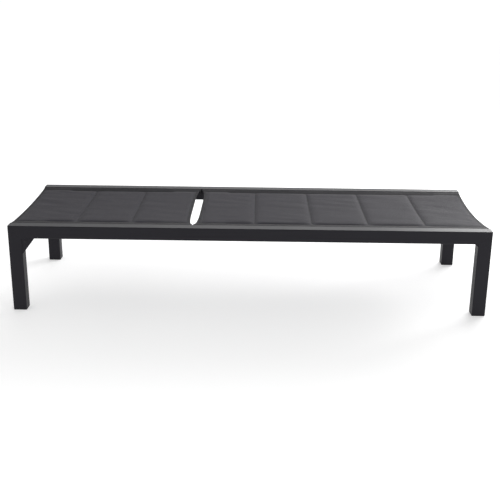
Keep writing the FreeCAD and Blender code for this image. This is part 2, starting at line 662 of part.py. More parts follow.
def prop_arm(side, sign):
    """A flat steel arm from the back's tube to the cross rod."""
    arm = new_body(f"prop_arm_{side}")
    flat = rectangle("prop_reach", "prop_height", "-prop_reach / 2")
    pad(arm, add_outline(new_sketch(arm, "XZ_Plane", "flat"), flat), "prop_thickness")
    for x in ("0", "-prop_reach"):
        eye = add_circle(new_sketch(arm, "XZ_Plane", "eye"), (x, "0"), "prop_height / 2")
        pad(arm, eye, "prop_thickness")
    pivot = add_circle(new_sketch(arm, "XZ_Plane", "pivot"), ("0", "0"), "pivot_radius + pivot_play")
    pocket(arm, pivot, "prop_thickness + over")
    rod = add_circle(new_sketch(arm, "XZ_Plane", "rod"), ("-prop_reach", "0"), "prop_bar_radius")
    pocket(arm, rod, "prop_thickness + over")
    tilt_body(arm, 2)
    place(arm, PROP_X, f"{sign} * ({ARM_OUTER} - prop_thickness / 2)", PIVOT_Z)


def prop_pivot(side, sign):
    """The shoulder bolt and washer that join an arm to the back's tube."""
    start = f"{ARM_OUTER} - prop_thickness - washer_play - head_depth"
    reach = "prop_thickness + prop_gap + washer_play + tube_width - tube_wall"
    head = ("head_radius", "head_depth")
    pin = bolt(f"prop_bolt_{side}", sign, PROP_X, PIVOT_Z, start, head, [("pivot_radius", reach)])
    keep(pin, f"prop_bolt_{side}")
    bore = "pivot_radius + pivot_play"
    name = f"prop_washer_{side}"
    washer_y = f"{ARM_OUTER} + washer_play"
    thick = "prop_gap - washer_play"
    keep(ring(name, sign, PROP_X, PIVOT_Z, washer_y, thick, "washer_radius", bore), name)


def prop_rod():
    """The cross rod between the arms, and the sleeves on its ends that drop into the racks."""
    x, z = roller_place()
    rod = cylinder("prop_rod", "prop_bar_radius", "0", f"2 * {ROLLER_OUTER}")
    turn_outward(rod, 1, x, f"-{ROLLER_OUTER}", z)
    keep(rod, "prop_rod")
    for side, sign in SIDES:
        start = f"{ROLLER_OUTER} - roller_length"
        bore = "prop_bar_radius + pivot_play"
        name = f"prop_roller_{side}"
        keep(ring(name, sign, x, z, start, "roller_length", "roller_radius", bore), name)


def rack(side, sign):
    """A plate on the rail's inner face with round notches along its top edge."""
    plate = new_body(f"rack_{side}")
    top = "-(roller_radius + rack_clear)"
    low = f"{top} - rack_height"
    corners = [("-rack_far", low), ("-rack_near", low), ("-rack_near", top), ("-rack_far", top)]
    pad(plate, add_outline(new_sketch(plate, "XZ_Plane", "plate"), corners), "rack_thickness")
    notches = new_sketch(plate, "XZ_Plane", "notches")
    for angle in NOTCH_ANGLES:
        reach = f"-2 * prop_reach * {math.cos(math.radians(angle + flat_track())):.5f}"
        add_circle(notches, (reach, top), "notch_radius")
    pocket(plate, notches, "rack_thickness + over")
    bolts = new_sketch(plate, "XZ_Plane", "bolts")
    for distance in RACK_BOLTS:
        add_circle(bolts, (f"-{distance}", f"{top} - rack_bolt_drop"), "rack_bolt_radius + thread_play")
    pocket(plate, bolts, "rack_thickness + over")
    tilt_body(plate, 1)
    place(plate, "hinge_place", f"{sign} * ({RAIL_INNER} - rack_thickness / 2)", PIVOT_Z)


def rack_bolts():
    """The screws that hold the racks to the rails."""
    bolts = []
    for _, sign in SIDES:
        for distance in RACK_BOLTS:
            x, z = rack_bolt_place(distance)
            start = f"{RAIL_INNER} - rack_thickness - rack_head_depth"
            head = ("rack_head_radius", "rack_head_depth")
            stages = [("rack_bolt_radius", "rack_thickness + thread_reach")]
            bolts.append(bolt("rack_bolt", sign, x, z, start, head, stages))
    group("rack_bolts", bolts)


def bow_at(half_span, across):
    """How far a bowed bar hangs below its ends at a place across the lounger, as text."""
    radius = bow_radius(half_span, "bar_bow")
    return f"(sqrt(({radius}) ^ 2 - ({across}) ^ 2) - {radius} + bar_bow)"


def buffers():
    """The rubber buffers on the head end's cross bar, on which the back lies when flat."""
    low = f"(height - low_bar_drop - {bow_at(RAIL_INNER, 'buffer_place')})"
    high = f"(height - high_bar_drop - bar_height - {bow_at(TUBE_INNER, 'buffer_place')})"
    studs = []
    for _, sign in SIDES:
        stud = DOC.addObject("Part::Cylinder", "buffer")
        bind(stud, Radius="buffer_radius", Height=f"{high} - {low} - buffer_clear + buffer_sink")
        place(stud, BACK_BARS["head"], f"{sign} * buffer_place", f"{low} - buffer_sink")
        studs.append(stud)
    group("rest_buffers", studs)


# ---- the whole ----


def build_frame():
    """The outer frame: rails, legs, feet, corner plates and its two cross bars."""
    for side, sign in SIDES:
        side_rail(side, sign)
        for end_name, end in (("head", -1), ("foot", 1)):
            leg(end_name, end, side, sign)
            glide(end_name, end, side, sign)
        corner_plate(f"head_gusset_{side}", -1, sign, "gusset_run", "gusset_drop")
        corner_plate(f"foot_brace_{side}", 1, sign, "brace_run", "brace_run")
    fasten_plates()
    for end_name, end in (("head", -1), ("foot", 1)):
        place_x = f"{end} * (length - leg_width) / 2"
        bowed_bar(f"{end_name}_crossbar", RAIL_INNER, place_x, "height - low_bar_drop")


def build_seat():
    """The fixed seat: tubes, cross bars, plugs, fixings, welts and sling."""
    start, end = "slot_place + tube_throat + plug_flange", "tube_end - plug_flange"
    holes = [(x, f"{TUBE_BASE} + seat_bolt_rise", "thread_radius + thread_play") for x in SEAT_BOLTS]
    for side, sign in SIDES:
        drill_tube(sling_tube(f"seat_tube_{side}", sign, start, end), start, end, holes)
        welt(f"seat_welt_{side}", sign, start, end)
    for name, x in SEAT_BARS.items():
        bowed_bar(f"seat_bar_{name}", TUBE_INNER, x, "height - high_bar_drop")
    tube_plugs("seat_tube_plugs", start, end)
    seat_fixings()
    sling("seat_sling", "slot_place + throat_half", "sling_end", "seat_sag", -1)


def build_back():
    """The back that reclines: tubes, cross bars, plugs, pivots, welts and sling."""
    start, end = "-tube_end + plug_flange", "slot_place - tube_throat - plug_flange"
    holes = [("hinge_place", PIVOT_Z, "pivot_radius + bush_wall"), (PROP_X, PIVOT_Z, "pivot_radius")]
    for side, sign in SIDES:
        drill_tube(sling_tube(f"back_tube_{side}", sign, start, end), start, end, holes)
        welt(f"back_welt_{side}", sign, start, end)
        hinge(side, sign)
    for name, x in BACK_BARS.items():
        bowed_bar(f"back_bar_{name}", TUBE_INNER, x, "height - high_bar_drop")
    tube_plugs("back_tube_plugs", start, end)
    sling("back_sling", "-sling_end", "slot_place - throat_half", "back_sag", 1)


def build_prop():
    """The prop that holds the back up, the racks that it drops into, and the buffers."""
    for side, sign in SIDES:
        prop_arm(side, sign)
        prop_pivot(side, sign)
        rack(side, sign)
    prop_rod()
    rack_bolts()
    buffers()


def check_document():
    """Stops if any object of the document failed, or a sub-part has no sound shape."""
    DOC.recompute()
    for thing in DOC.Objects:
        if {"Invalid", "Error"} & set(thing.State):
            raise RuntimeError(f"{thing.Name} ({thing.Label}) failed: {thing.State}")
    for name, thing in PARTS.items():
        if thing.Shape.isNull() or not thing.Shape.isValid() or not thing.Shape.Solids:
            raise RuntimeError(f"{name} has no sound solid")


def write_parts():
    """Writes each sub-part's shape to its own STEP file."""
    os.makedirs("parts", exist_ok=True)
    for name, thing in sorted(PARTS.items()):
        thing.Shape.exportStep(f"parts/{name}.step")


SHEET = fill_sheet()
build_frame()
build_seat()
build_back()
build_prop()
check_document()
write_parts()
print(len(PARTS), "sub-parts; prop path angle", round(flat_track(), 3))
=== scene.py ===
"""The looks of a reclining sun lounger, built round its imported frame.

Lengths are metres in the frame's own axes: +X points to the foot end, +Z up, and the origin is on the floor
under the middle. Each sling is a padded, quilted cloth that is stretched over two tubes: a class shapes it,
blows it up between its seams by cloth simulation and sews its stitches. Finishes dress those pieces and
every part of the frame.
"""

import json
import logging
import math
from dataclasses import dataclass
from enum import Enum
from typing import Iterable, Optional, Sequence

import bmesh
import bpy
import numpy as np
from mathutils import Euler, Matrix, Vector, noise
from mathutils.bvhtree import BVHTree


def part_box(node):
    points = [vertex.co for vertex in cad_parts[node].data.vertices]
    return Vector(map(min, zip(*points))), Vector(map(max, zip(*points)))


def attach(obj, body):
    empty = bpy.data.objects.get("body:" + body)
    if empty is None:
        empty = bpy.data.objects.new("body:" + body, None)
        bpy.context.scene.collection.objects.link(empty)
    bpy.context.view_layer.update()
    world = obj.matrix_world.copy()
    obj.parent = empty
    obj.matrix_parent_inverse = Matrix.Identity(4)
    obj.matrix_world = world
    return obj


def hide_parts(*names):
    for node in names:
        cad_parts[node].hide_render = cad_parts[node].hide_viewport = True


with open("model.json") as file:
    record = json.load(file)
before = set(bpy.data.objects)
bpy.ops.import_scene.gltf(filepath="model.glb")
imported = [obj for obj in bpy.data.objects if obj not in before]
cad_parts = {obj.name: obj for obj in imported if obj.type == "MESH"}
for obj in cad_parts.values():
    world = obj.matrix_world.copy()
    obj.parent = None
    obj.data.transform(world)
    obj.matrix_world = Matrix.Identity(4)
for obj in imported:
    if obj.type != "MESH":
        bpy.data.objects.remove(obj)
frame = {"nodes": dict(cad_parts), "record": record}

LOG = logging.getLogger("sun_lounger")
MM = 0.001
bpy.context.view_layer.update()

Colour = tuple[float, float, float, float]


# ---- shader helpers ----


def linear(hex_code: str) -> Colour:
    """Turns an sRGB colour into the linear values that a shader takes.

    Args:
        hex_code: six hexadecimal digits, such as "2e2d31".

    Returns:
        Red, green, blue and an alpha of 1.
    """
    parts = [int(hex_code[i : i + 2], 16) / 255 for i in (0, 2, 4)]
    bright = [p / 12.92 if p <= 0.04045 else ((p + 0.055) / 1.055) ** 2.4 for p in parts]
    return (*bright, 1.0)


def add_node(tree: bpy.types.NodeTree, kind: str, inputs: Optional[dict] = None,
             **settings) -> bpy.types.Node:
    """Adds a node, sets its properties, and fills or links its sockets.

    Args:
        tree: the node tree to add to.
        kind: the node's type, such as "ShaderNodeBump".
        inputs: a value, or another node's output, for each input by its name or number.
        **settings: the node's own properties.

    Returns:
        The new node.
    """
    node = tree.nodes.new(kind)
    for name, value in settings.items():
        setattr(node, name, value)
    for key, value in (inputs or {}).items():
        if isinstance(value, bpy.types.NodeSocket):
            tree.links.new(value, node.inputs[key])
        else:
            node.inputs[key].default_value = value
    return node


def per_mm(size: float) -> float:
    """The scale, in repeats to the metre, of a pattern whose repeat is so many millimetres."""
    return 1.0 / (size * MM)


def math_node(tree: bpy.types.NodeTree, operation: str, *values) -> bpy.types.NodeSocket:
    """Adds a sum, a product or another piece of arithmetic.

    Args:
        tree: the node tree to add to.
        operation: the node's operation, such as "MULTIPLY".
        *values: the numbers or outputs that it works on.

    Returns:
        The output that holds the result.
    """
    node = add_node(tree, "ShaderNodeMath", dict(enumerate(values)), operation=operation)
    return node.outputs[0]


def noise_node(tree: bpy.types.NodeTree, place: bpy.types.NodeSocket, size_mm: float,
               detail: float) -> bpy.types.NodeSocket:
    """Adds a noise pattern.

    Args:
        tree: the node tree to add to.
        place: the output that holds the coordinates.
        size_mm: the width of a patch.
        detail: how many finer layers it has.

    Returns:
        The output that holds the pattern.
    """
    inputs = {"Vector": place, "Scale": per_mm(size_mm), "Detail": detail}
    return add_node(tree, "ShaderNodeTexNoise", inputs).outputs["Fac"]


# ---- finishes ----


@dataclass(frozen=True)
class Finish:
    """A surface that a piece can be given, named for the real material."""

    name: str
    colour: str
    roughness: float
    specular: float = 0.5
    metallic: float = 0.0

    def material(self) -> bpy.types.Material:
        """Builds the material: the shader with its constants, then the pattern of this kind of finish.

        Returns:
            The finished material.
        """
        made = bpy.data.materials.new(self.name)
        made.use_nodes = True
        tree = made.node_tree
        shader = tree.nodes["Principled BSDF"]
        shader.inputs["Roughness"].default_value = self.roughness
        shader.inputs["Specular IOR Level"].default_value = self.specular
        shader.inputs["Metallic"].default_value = self.metallic
        self.pattern(tree, shader)
        return made

    def pattern(self, tree: bpy.types.NodeTree, shader: bpy.types.Node) -> None:
        """Adds the grain of a plain moulded or machined surface.

        Args:
            tree: the material's node tree.
            shader: its Principled BSDF.
        """
        self.grain(tree, shader, grain_mm=1.2, depth_mm=0.02, patch_mm=90, spread=0.12)

    def grain(self, tree: bpy.types.NodeTree, shader: bpy.types.Node, grain_mm: float, depth_mm: float,
              patch_mm: float, spread: float) -> None:
        """Fine bumps, and broad patches where colour and gloss drift a little.

        Args:
            tree: the material's node tree.
            shader: its Principled BSDF.
            grain_mm: the width of a bump.
            depth_mm: its height.
            patch_mm: the width of a patch.
            spread: how far the colour drifts either way, as a share.
        """
        place = add_node(tree, "ShaderNodeTexCoord").outputs["Object"]
        fine = noise_node(tree, place, grain_mm, detail=3.0)
        broad = noise_node(tree, place, patch_mm, detail=2.0)
        colour = self.drift(tree, broad, spread)
        tree.links.new(colour, shader.inputs["Base Color"])
        self.gloss(tree, shader, broad, below=0.05, above=0.05)
        bump = add_node(tree, "ShaderNodeBump", {"Height": fine, "Distance": depth_mm * MM})
        tree.links.new(bump.outputs["Normal"], shader.inputs["Normal"])

    def drift(self, tree: bpy.types.NodeTree, pattern: bpy.types.NodeSocket,
              spread: float) -> bpy.types.NodeSocket:
        """The finish's colour, a little darker where a pattern is 0 and a little lighter where it is 1.

        Args:
            tree: the material's node tree.
            pattern: the pattern's output.
            spread: how far the colour drifts either way, as a share.

        Returns:
            The output that holds the colour.
        """
        mix = add_node(tree, "ShaderNodeMix", {0: pattern}, data_type="RGBA")
        for end, factor in (("A", 1 - spread), ("B", 1 + spread)):
            mix.inputs[end].default_value = (*(c * factor for c in linear(self.colour)[:3]), 1.0)
        return mix.outputs["Result"]

    def gloss(self, tree: bpy.types.NodeTree, shader: bpy.types.Node, pattern: bpy.types.NodeSocket,
              below: float, above: float) -> None:
        """Lets the roughness follow a pattern.

        Args:
            tree: the material's node tree.
            shader: its Principled BSDF.
            pattern: the pattern's output.
            below: how far under the finish's own roughness it is where the pattern is 0.
            above: how far over it where the pattern is 1.
        """
        ends = {"Value": pattern, "To Min": self.roughness - below, "To Max": self.roughness + above}
        spread = add_node(tree, "ShaderNodeMapRange", ends)
        tree.links.new(spread.outputs["Result"], shader.inputs["Roughness"])


@dataclass(frozen=True)
class PowderCoat(Finish):
    """Anthracite polyester powder coat on extruded aluminium, sprayed and baked.

    It gives the eye a satin grey with orange peel, edges that the baked coat has rounded, and a painted
    highlight that makes the colour a little lighter along the edges.
    """

    peel_mm: float = 2.2
    peel_depth_mm: float = 0.03
    patch_mm: float = 260
    edge_mm: float = 1.2
    # the lighter grey of the painted highlight along the edges
    edge_highlight_colour: str = "38373c"

    def pattern(self, tree: bpy.types.NodeTree, shader: bpy.types.Node) -> None:
        """Orange peel over edges that the baked coat has rounded, and a painted highlight: a lighter colour
        along those edges.

        Args:
            tree: the material's node tree.
            shader: its Principled BSDF.
        """
        place = add_node(tree, "ShaderNodeTexCoord").outputs["Object"]
        peel = noise_node(tree, place, self.peel_mm, detail=2.0)
        broad = noise_node(tree, place, self.patch_mm, detail=3.0)
        soft = add_node(tree, "ShaderNodeBevel", {"Radius": self.edge_mm * MM}, samples=4)
        true = add_node(tree, "ShaderNodeNewGeometry").outputs["Normal"]
        same = add_node(
            tree, "ShaderNodeVectorMath", {0: soft.outputs["Normal"], 1: true}, operation="DOT_PRODUCT"
        )
        bend = {"Value": same.outputs["Value"], "From Min": 0.97, "From Max": 0.80, "To Max": 0.6}
        edge = add_node(tree, "ShaderNodeMapRange", bend).outputs["Result"]
        colour = self.drift(tree, broad, spread=0.1)
        # painted highlight: the colour is mixed towards a lighter grey along every edge
        edge_highlighted = add_node(tree, "ShaderNodeMix", {0: edge, "A": colour}, data_type="RGBA")
        edge_highlighted.inputs["B"].default_value = linear(self.edge_highlight_colour)
        tree.links.new(edge_highlighted.outputs["Result"], shader.inputs["Base Color"])
        self.gloss(tree, shader, broad, below=0.04, above=0.04)
        height = {"Height": peel, "Distance": self.peel_depth_mm * MM, "Normal": soft.outputs["Normal"]}
        bump = add_node(tree, "ShaderNodeBump", height)
        tree.links.new(bump.outputs["Normal"], shader.inputs["Normal"])


@dataclass(frozen=True)
class SlingMesh(Finish):
    """Plain-woven sling mesh of vinyl-coated polyester yarn over wadding, anthracite.

    It gives the eye a matt, slightly violet grey, a fine basket of round yarns, and faint streaks along the
    warp where the yarns' colour and tension vary. The weave is drawn coarser than the real 1.1 mm, so that
    it shows from close by.
    """

    yarn_mm: float = 1.8
    yarn_depth_mm: float = 0.16
    streak_mm: float = 7.0
    streak_long_mm: float = 420.0
    cloud_mm: float = 160
    # painted shade: how dark the hems and the side bands over the tubes are made
    hem_and_side_painted_shade: float = 0.42
    # painted shade: how dark the cloth is made along the seam lines
    seam_painted_shade: float = 0.4

    def pattern(self, tree: bpy.types.NodeTree, shader: bpy.types.Node) -> None:
        """The weave, its streaks, the hems' doubled cloth darkened further into painted shade together with
        the side bands over the tubes, and painted shade along the seams.

        Args:
            tree: the material's node tree.
            shader: its Principled BSDF.
        """
        cut = add_node(tree, "ShaderNodeUVMap", uv_map="cut").outputs["UV"]
        axes = add_node(tree, "ShaderNodeSeparateXYZ", {"Vector": cut})
        waves = []
        for axis in ("X", "Y"):
            turn = math_node(tree, "MULTIPLY", axes.outputs[axis], math.pi * per_mm(self.yarn_mm))
            waves.append(math_node(tree, "SINE", turn))
        yarn = math_node(tree, "ABSOLUTE", math_node(tree, "MULTIPLY", *waves))
        stretched = add_node(tree, "ShaderNodeMapping", {"Vector": cut})
        stretched.inputs["Scale"].default_value = (per_mm(self.streak_long_mm), per_mm(self.streak_mm), 1.0)
        streak = add_node(
            tree, "ShaderNodeTexNoise", {"Vector": stretched.outputs["Vector"], "Scale": 1.0, "Detail": 4.0}
        ).outputs["Fac"]
        cloud = noise_node(tree, cut, self.cloud_mm, detail=2.0)
        # painted shade: the hems' doubled cloth and the side bands over the tubes are darkened
        hem = add_node(tree, "ShaderNodeAttribute", attribute_name="hem").outputs["Fac"]
        # painted shade: the cloth along every row of stitches is darkened like a shadowed seam groove
        seam_shade_mask = add_node(tree, "ShaderNodeAttribute", attribute_name="seam_shade_mask").outputs["Fac"]
        shade = self.shade(tree, [(yarn, 0.80, 1.12), (streak, 0.80, 1.20), (cloud, 0.94, 1.06),
                                  (hem, 1.0, self.hem_and_side_painted_shade), (seam_shade_mask, 1.0, self.seam_painted_shade)])
        tint = add_node(tree, "ShaderNodeMix", {0: 1.0, "B": shade}, data_type="RGBA", blend_type="MULTIPLY")
        tint.inputs["A"].default_value = linear(self.colour)
        tree.links.new(tint.outputs["Result"], shader.inputs["Base Color"])
        shader.inputs["Sheen Weight"].default_value = 0.04
        shader.inputs["Sheen Roughness"].default_value = 0.5
        self.gloss(tree, shader, yarn, below=-0.12, above=-0.06)
        bump = add_node(tree, "ShaderNodeBump", {"Height": yarn, "Distance": self.yarn_depth_mm * MM})
        tree.links.new(bump.outputs["Normal"], shader.inputs["Normal"])

    def shade(self, tree: bpy.types.NodeTree,
              layers: Iterable[tuple[bpy.types.NodeSocket, float, float]]) -> bpy.types.NodeSocket:
        """Multiplies several patterns, each first spread over a range of its own.

        Args:
            tree: the material's node tree.
            layers: each pattern's output, and the factors that its 0 and its 1 stand for.

        Returns:
            The output that holds the product.
        """
        product = None
        for pattern, low, high in layers:
            spread = add_node(tree, "ShaderNodeMapRange", {"Value": pattern, "To Min": low, "To Max": high})
            layer = spread.outputs["Result"]
            product = layer if product is None else math_node(tree, "MULTIPLY", product, layer)
        return product


# Bonded polyester thread: tight, smooth and a little glossier than the cloth that it pulls down.
SEWING_THREAD = Finish("bonded_polyester_thread", "2b2a2e", 0.5, specular=0.4)


class Slot(Enum):
    """The record's material slots, each with the finish that it is given here."""

    FRAME = ("frame_coating", PowderCoat("powder_coated_aluminium", "28272c", 0.48, specular=0.13))
    CLOTH = ("sling_cloth", SlingMesh("woven_vinyl_mesh", "312f36", 0.7, specular=0.1))
    WELT = ("welt_cord", Finish("polyester_welt", "2c2b2e", 0.8, specular=0.3))
    GLIDE = ("glide_plastic", Finish("moulded_polyethylene", "0e0e0f", 0.55, specular=0.3))
    NYLON = ("nylon", Finish("black_nylon", "1a1a1c", 0.42))
    RUBBER = ("buffer_rubber", Finish("nitrile_rubber", "161617", 0.75, specular=0.3))
    STEEL = ("fastener_steel", Finish("zinc_plated_steel", "b8b9bb", 0.32, metallic=1.0))
    SCREW = ("black_screw", Finish("black_oxide_steel", "2a2a2d", 0.38, metallic=0.7))

    def __init__(self, slot: str, finish: Finish) -> None:
        """Keeps the slot's name in the record and its finish."""
        self.slot = slot
        self.finish = finish


class Wardrobe:
    """Makes each finish's material once and puts it on pieces."""

    def __init__(self) -> None:
        """Starts with no material made."""
        self.made: dict[str, bpy.types.Material] = {}

    def dress(self, piece: bpy.types.Object, finish: Finish) -> None:
        """Puts a finish on every material slot of a piece.

        Args:
            piece: the object to dress.
            finish: what it is given.
        """
        if finish.name not in self.made:
            self.made[finish.name] = finish.material()
        if not piece.material_slots:
            piece.data.materials.append(None)
        for place in piece.material_slots:
            place.material = self.made[finish.name]

    def dress_frame(self) -> None:
        """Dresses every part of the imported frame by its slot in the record."""
        finishes = {s.slot: s.finish for s in Slot}
        for part in frame["record"]["subparts"]:
            self.dress(frame["nodes"][part["node"]], finishes[part["material_slot"]])
        LOG.info("dressed %d frame parts", len(frame["nodes"]))


# ---- the slings ----

CLOTH_FRAMES = 20  # after that the pressed-out cloth hardly moves
NEAR = 0.1 * MM  # closer than this counts as on the line


def ruled(stops: Sequence[float], cell: float, flank: float) -> list[float]:
    """Lines from the first stop to the last, one on each stop, one close beside it, and the rest evenly.

    Args:
        stops: where a line has to be, in rising order.
        cell: about how far apart the even lines are.
        flank: how far from a stop its close lines are.

    Returns:
        The places of the lines.
    """
    lines = set(stops)
    for near, far in zip(stops, stops[1:]):
        gap = min(flank, (far - near) / 3)
        span = far - near - 2 * gap
        count = max(1, round(span / cell))
        lines |= {round(near + gap + span * i / count, 6) for i in range(count + 1)}
    return sorted(lines)


def ease(value: float) -> float:
    """A smooth step from 0 to 1 as a value goes from 0 to 1."""
    held = min(1.0, max(0.0, value))
    return held * held * (3 - 2 * held)


@dataclass
class PaddedSling:
    """A quilted, padded sling that is stretched over its two tubes.

    Its cut is flat: along runs from the head to the foot, and across from the middle to the edge that goes
    round the tube's outer side. The end at the slot is scooped out, and the other, far end hangs and bows.

    Attributes:
        name: what the pad is called.
        node: the solid in the frame that it takes the place of.
        body: the body that it rides on.
        seams: where the seams across it are.
        slot_side: 1 if the slot is at its foot end, -1 if at its head end.
        sag: how deep its middle hangs away from the far hem.
        hem_sag: how deep the far hem's middle hangs.
        hem_bow: how far that middle is drawn in.
        cell, across_cell, flank: the mesh's steps along and across, and beside a seam.
        hem, side_seam: the width of the hems, and where the side seams are across it.
        flat_from: where it lies on the tubes.
        slot_end, slot_deep, slot_round, slot_reach: the scoop's half length, depth, finely ruled end, and how
            far into the cloth it is felt.
        bow_reach: how far into the cloth the bow is felt.
        corner: the radius at the tubes' upper edge.
        edge_thick, seam_thick, wrap_thick, pad_thick: how thick it is in the hems, on a seam, round a tube
            and where it is fullest.
        seam_roll, seam_dip, hem_dip: how soon the pad fills out beside a seam, and how far seams and hems
            pull it down.
        dip_from, dip_reach: where beside the tubes that pull begins, and over what width it grows.
        sag_reach: how far from the far hem its sag dies out.
        bar_gap, bar_bow: how far it may sink beside the tubes, and how much more in the middle, where the
            cross bars below bow down.
        fold_long, fold_wide, fold_slant, fold_height: the size, slant and height of the shallow folds.
        fold_fine, fold_finer, fold_seed: the share, fineness and seed of the finer folds.
        fold_more, fold_reach: how much stronger folds are near the far hem, and how far that reaches.
        pitch: the length of a stitch with its gap.
        puff_cap: the most that the wadding may push the cloth out.
    """

    name: str
    node: str
    body: str
    seams: tuple[float, ...]
    slot_side: int
    sag: float
    hem_sag: float
    hem_bow: float
    cell: float = 11.5 * MM
    across_cell: float = 8 * MM
    flank: float = 2.5 * MM
    hem: float = 12 * MM
    side_seam: float = 233 * MM
    flat_from: float = 247 * MM
    slot_end: float = 257 * MM
    slot_deep: float = 15.4 * MM
    slot_round: float = 54 * MM
    slot_reach: float = 40 * MM
    bow_reach: float = 70 * MM
    corner: float = 1.5 * MM
    edge_thick: float = 2.3 * MM
    seam_thick: float = 1.6 * MM
    wrap_thick: float = 1.0 * MM
    pad_thick: float = 8 * MM
    seam_roll: float = 10 * MM
    seam_dip: float = 6.0 * MM
    hem_dip: float = 2.4 * MM
    dip_from: float = 6 * MM
    dip_reach: float = 25 * MM
    sag_reach: float = 480 * MM
    bar_gap: float = 2.3 * MM
    bar_bow: float = 24 * MM
    fold_long: float = 150 * MM
    fold_wide: float = 46 * MM
    fold_slant: float = 0.22
    fold_height: float = 0.9 * MM
    fold_fine: float = 0.25
    fold_finer: float = 2.3
    fold_seed: float = 7.0
    fold_more: float = 0.8
    fold_reach: float = 260 * MM
    pitch: float = 4.7 * MM
    puff_cap: float = 2.2 * MM

    def __post_init__(self) -> None:
        """Reads the sling's outline from its solid in the frame."""
        low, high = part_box(self.node)
        self.head_x, self.foot_x = low.x, high.x
        self.half, self.top, self.wrap_low = high.y, high.z, self.lowest_wrap()
        self.tube_edge = self.half - self.corner
        self.wrap_from = self.tube_edge + self.corner * math.pi / 2
        self.cut_half = self.wrap_from + self.top - self.corner - self.wrap_low
        self.hem_lines = (self.head_x + self.hem, self.foot_x - self.hem)
        self.far_x = self.foot_x if self.slot_side < 0 else self.head_x
        self.slot_x = self.head_x if self.slot_side < 0 else self.foot_x

    def lowest_wrap(self) -> float:
        """How low the cloth reaches on the tubes' outer sides."""
        points = [v.co for v in frame["nodes"][self.node].data.vertices]
        outer = max(p.y for p in points)
        return min(p.z for p in points if p.y > outer - 0.5 * MM)

    def along_lines(self) -> list[float]:
        """Where the mesh has lines along the sling, seams and hems among them."""
        stops = [self.head_x, self.hem_lines[0], *self.seams, self.hem_lines[1], self.foot_x]
        return ruled(stops, self.cell, self.flank)

    def across_lines(self) -> list[float]:
        """Where the mesh has lines across the sling, in the flat cut."""
        inner, outer = self.slot_end - self.slot_round, self.tube_edge
        lines = ruled([0.0, inner], self.across_cell, self.flank)
        lines += ruled([inner, self.side_seam, self.flat_from, self.slot_end, outer], 4 * MM, self.flank)
        lines += [self.tube_edge + (self.wrap_from - self.tube_edge) / 2, self.wrap_from]
        lines += [(self.wrap_from + self.cut_half) / 2, self.cut_half]
        return sorted({round(sign * y, 6) for y in lines for sign in (-1, 1)})

    def hang(self, along: float, across: float) -> float:
        """How far the stretched cloth hangs below its edges.

        Args:
            along: the place along the sling.
            across: the place across it.

        Returns:
            The depth, which is nothing over the tubes.
        """
        near_hem = max(0.0, 1 - abs(along - self.far_x) / self.sag_reach) ** 2
        deepest = self.sag + (self.hem_sag - self.sag) * near_hem
        return deepest * (1 - self.share(across) ** 2)

    def share(self, across: float) -> float:
        """How far out a place across the sling is: 0 in the middle, 1 over the tubes."""
        return min(1.0, abs(across) / self.flat_from)

    def shift(self, along: float, across: float) -> float:
        """How far the end hems curve away from a straight line across the sling.

        Args:
            along: the place along the flat cut.
            across: the place across it.

        Returns:
            What is added to the place along.
        """
        bowed = self.hem_bow * (1 - self.share(across) ** 2)
        inward = 1 if self.far_x < self.slot_x else -1
        moved = inward * bowed * ease(1 - (abs(along - self.far_x) - self.hem) / self.bow_reach)
        scooped = self.slot_deep * math.sqrt(max(0.0, 1 - (abs(across) / self.slot_end) ** 4))
        return moved - inward * scooped * ease(1 - (abs(along - self.slot_x) - self.hem) / self.slot_reach)

    def pillow(self, along: float, across: float) -> float:
        """How full the pad is, from 0 on a seam or hem to 1 away from them.

        Args:
            along: the place along the flat cut.
            across: the place across it.

        Returns:
            The fullness.
        """
        inside = min(along - self.hem_lines[0], self.hem_lines[1] - along, self.side_seam - abs(across))
        if inside <= 0:
            return 0.0
        to_side = self.side_seam - abs(across)
        to_line = min(abs(along - s) for s in (*self.seams, *self.hem_lines))
        return (1 - math.exp(-to_line / self.seam_roll)) * (1 - math.exp(-to_side / self.seam_roll))

    def thickness(self, along: float, across: float) -> float:
        """The pad's thickness at a place of the flat cut."""
        outside = abs(across) > self.side_seam or not self.hem_lines[0] <= along <= self.hem_lines[1]
        least = self.edge_thick if outside else self.seam_thick
        most = self.edge_thick + (self.pad_thick - self.edge_thick) * (1 - self.share(across) ** 4)
        return least + (most - least) * self.pillow(along, across)

    def fold(self, across: float) -> tuple[float, float]:
        """Where the cut's outer face goes round the tube.

        Args:
            across: the place across the flat cut.

        Returns:
            The place across the lounger, and the drop below the flat top.
        """
        out, sign = abs(across), math.copysign(1.0, across)
        if out <= self.tube_edge:
            return across, 0.0
        if out <= self.wrap_from:
            turn = (out - self.tube_edge) / self.corner
            return sign * (self.tube_edge + self.corner * math.sin(turn)), self.corner * (1 - math.cos(turn))
        return sign * self.half, self.corner + out - self.wrap_from

    def upper(self, along: float, across: float) -> Vector:
        """The place of a point of the upper cloth."""
        y, drop = self.fold(across)
        full = self.pillow(along, across)
        sunk = self.hang(along, across) + (1 - full) * self.dip(along, across)
        sunk -= full * self.wrinkle(along, across)
        sunk = min(sunk, self.bar_gap + self.bar_bow * (1 - self.share(across) ** 2))
        return Vector((along + self.shift(along, across), y, self.top - drop - sunk))

    def wrinkle(self, along: float, across: float) -> float:
        """The height of the shallow folds that the pull towards the tubes leaves in the cloth.

        Args:
            along: the place along the flat cut.
            across: the place across it.

        Returns:
            The height, which may be less than nothing.
        """
        slant = across + self.fold_slant * along
        low = noise.noise(Vector((along / self.fold_long, slant / self.fold_wide, self.far_x)))
        finer = self.fold_finer * slant / self.fold_wide
        fine = noise.noise(Vector((along / self.fold_long, finer, self.fold_seed)))
        stronger = 1 + self.fold_more * ease(1 - abs(along - self.far_x) / self.fold_reach)
        return self.fold_height * stronger * (low + self.fold_fine * fine)

